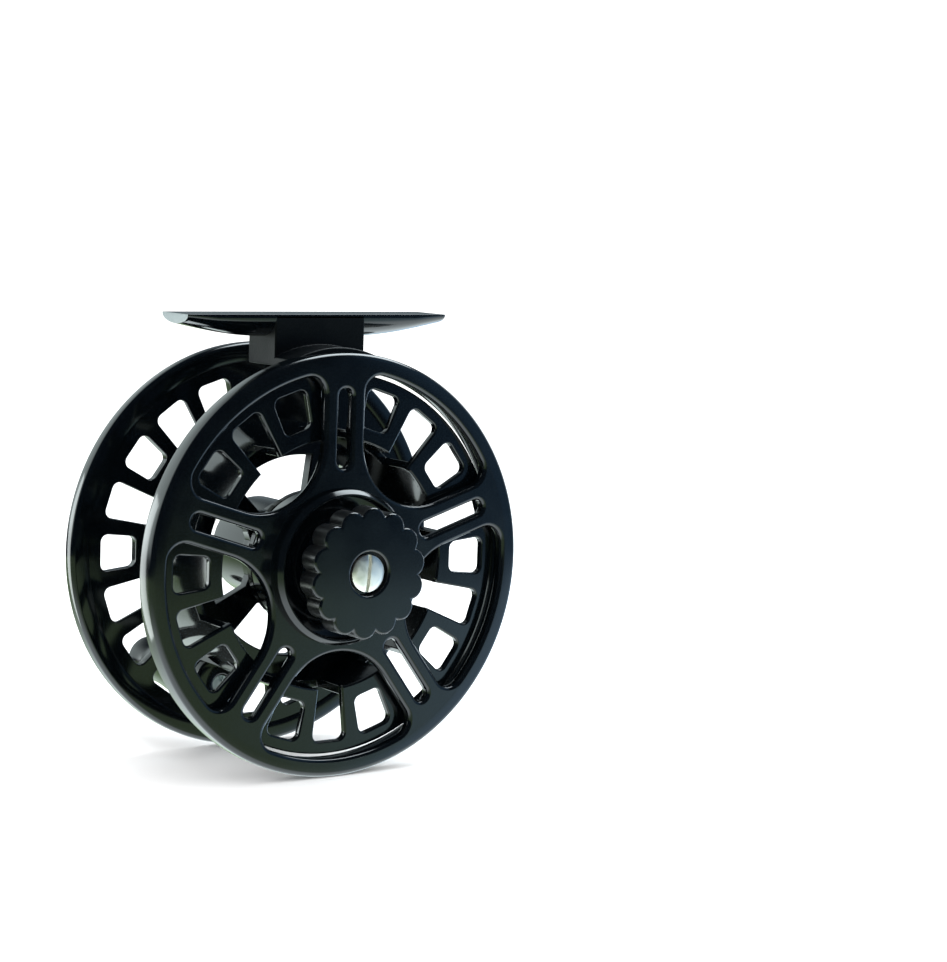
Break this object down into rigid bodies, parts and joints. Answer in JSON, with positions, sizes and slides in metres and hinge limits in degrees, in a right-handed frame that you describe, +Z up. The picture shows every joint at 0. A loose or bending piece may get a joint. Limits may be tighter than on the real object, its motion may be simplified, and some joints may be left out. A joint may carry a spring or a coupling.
{
  "type": "fly fishing reel",
  "caption": "Large-arbor fly reel with an open spoked frame, vented spool, lobed disc-drag knob, tapered handle and standard rod foot.",
  "frame": {"origin": "middle of the flat seat on top of the reel foot", "axes": "+X along the foot and the rod, +Y along the spindle from the drag knob's side to the handle's side, +Z up out of the foot's seat"},
  "size_m": [0.085, 0.0747, 0.092],
  "materials": {
    "black_casting": "black anodised or coated die casting, satin gloss",
    "black_spool": "black anodised, glossy, with bright edges",
    "black_cap": "matt grey-black",
    "black_knob": "black satin",
    "black_handle": "black glossy",
    "steel": "turned or ground stainless steel",
    "bright_screws": "bright polished",
    "brass": "turned",
    "friction_lining": "dull fibre lining",
    "seal_rubber": "smooth"
  },
  "bodies": {
    "frame": {"frame": "black_casting", "foot": "black_casting", "foot_screw_1": "steel", "foot_screw_2": "steel", "spindle": "steel", "spindle_clip": "steel", "knob_screw": "bright_screws", "stator_plate": "steel", "drag_lining_1": "friction_lining", "drag_lining_2": "friction_lining", "drag_cover": "black_casting", "cover_screw_1": "steel", "cover_screw_2": "steel", "cover_screw_3": "steel", "cover_seal": "seal_rubber", "detent_spring": "steel", "wave_spring": "steel"},
    "thrust": {"push_plate": "steel", "pressure_plate": "steel"},
    "knob": {"drag_knob": "black_knob", "knob_insert": "brass"},
    "detent": {"detent_pin": "steel"},
    "drag_hub": {"drag_hub": "steel", "rotor_disc": "steel"},
    "clutch": {"clutch_housing": "steel", "one_way_clutch": "steel", "spindle_bearing": "steel"},
    "spool": {"spool": "black_spool", "latch_ring": "steel", "hub_cap": "black_cap", "cap_screw_1": "bright_screws", "cap_screw_2": "bright_screws", "handle_post": "steel", "handle_screw": "bright_screws", "handle_washer": "steel"},
    "handle": {"handle": "black_handle", "handle_bush": "brass"}
  },
  "joints": [
    {"name": "drag_press", "type": "slide", "parent": "frame", "child": "thrust", "axis": [0, 1, 0], "range_m": [0, 0.00075], "deforming": ["wave_spring"]},
    {"name": "drag_turn", "type": "hinge", "parent": "thrust", "child": "knob", "pos_m": [0, -0.0158, -0.0495], "axis": [0, 1, 0], "range_deg": [0, 270]},
    {"name": "detent_press", "type": "slide", "parent": "frame", "child": "detent", "axis": [0, 1, 0], "range_m": [0, 0.00075], "deforming": ["detent_spring"]},
    {"name": "drag_slip", "type": "hinge", "parent": "frame", "child": "drag_hub", "pos_m": [0, -0.0158, -0.0495], "axis": [0, 1, 0], "continuous": true},
    {"name": "spool_turn", "type": "hinge", "parent": "drag_hub", "child": "clutch", "pos_m": [0, -0.0158, -0.0495], "axis": [0, 1, 0], "continuous": true},
    {"name": "spool_release", "type": "slide", "parent": "clutch", "child": "spool", "axis": [0, 1, 0], "range_m": [0, 0.04], "deforming": ["latch_ring"]},
    {"name": "handle_spin", "type": "hinge", "parent": "spool", "child": "handle", "pos_m": [-0.00927, 0.0233, -0.07803], "axis": [0, 1, 0], "continuous": true}
  ],
  "couplings": [
    {"joint": "drag_turn", "follows": "drag_press", "rad_per_m": 6283.2},
    {"joint": "detent_press", "follows": "drag_press", "ratio": 1}
  ]
}
